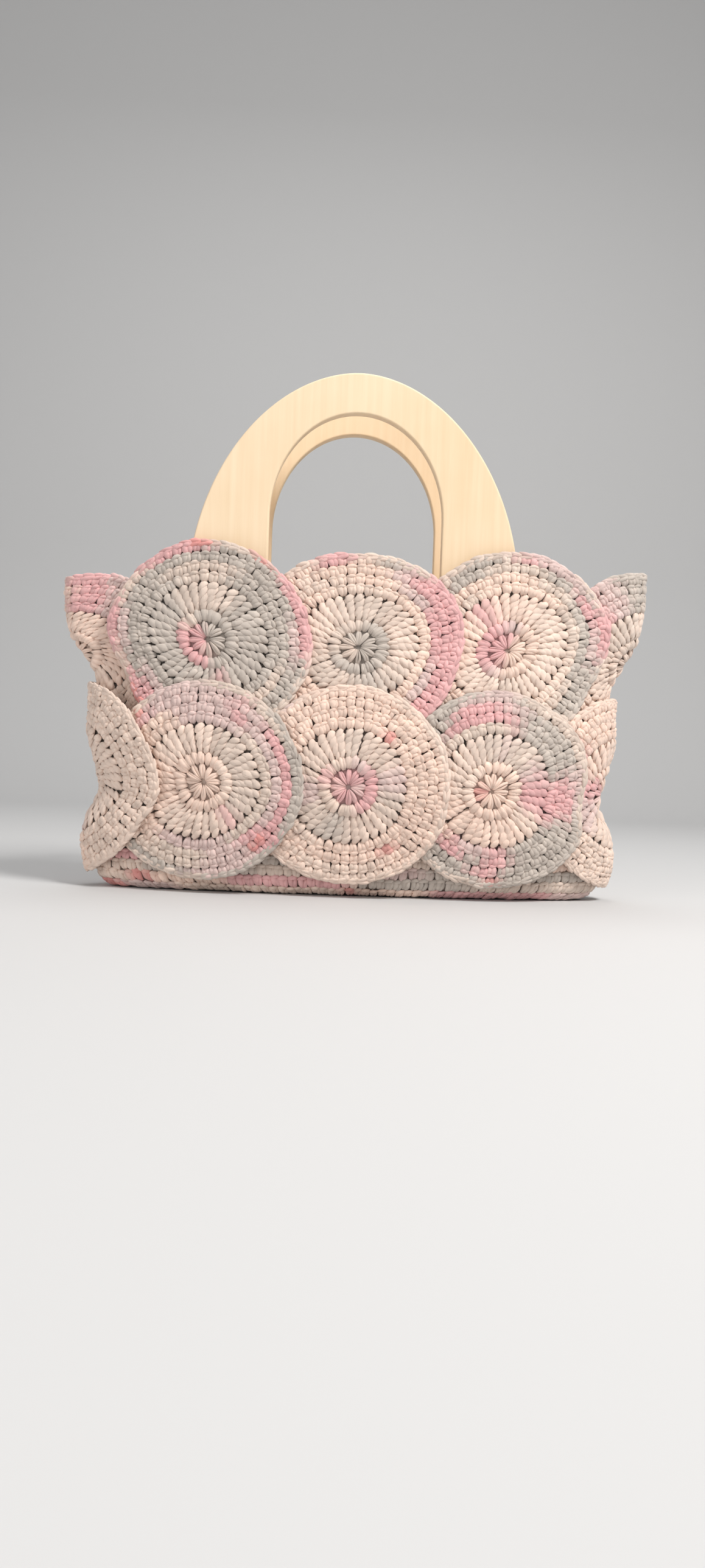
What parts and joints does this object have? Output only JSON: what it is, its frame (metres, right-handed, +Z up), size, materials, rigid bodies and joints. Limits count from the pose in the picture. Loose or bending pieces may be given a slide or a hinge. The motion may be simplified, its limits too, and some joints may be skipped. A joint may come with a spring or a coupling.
{
  "type": "crocheted handbag with wooden handles",
  "caption": "Soft crocheted handbag of overlapping round medallions with flat arched wooden handles and an open mouth.",
  "frame": {"origin": "on the floor at the middle of the base", "axes": "+X to the right of the front, -Y out of the front, +Z up through the mouth"},
  "size_m": [0.399, 0.1092, 0.346],
  "materials": {
    "yarn": "matt chunky cotton yarn, variegated peach, pink and grey",
    "wood": "smooth pale wood, satin"
  },
  "bodies": {
    "root": {"base": "yarn", "handle_back": "wood", "handle_front": "wood", "medallion_back_lower_left": "yarn", "medallion_back_lower_middle": "yarn", "medallion_back_lower_right": "yarn", "medallion_back_upper_left": "yarn", "medallion_back_upper_middle": "yarn", "medallion_back_upper_right": "yarn", "medallion_front_lower_left": "yarn", "medallion_front_lower_middle": "yarn", "medallion_front_lower_right": "yarn", "medallion_front_upper_left": "yarn", "medallion_front_upper_middle": "yarn", "medallion_front_upper_right": "yarn", "medallion_side_lower_left": "yarn", "medallion_side_lower_right": "yarn", "medallion_side_upper_left": "yarn", "medallion_side_upper_right": "yarn"}
  },
  "joints": []
}
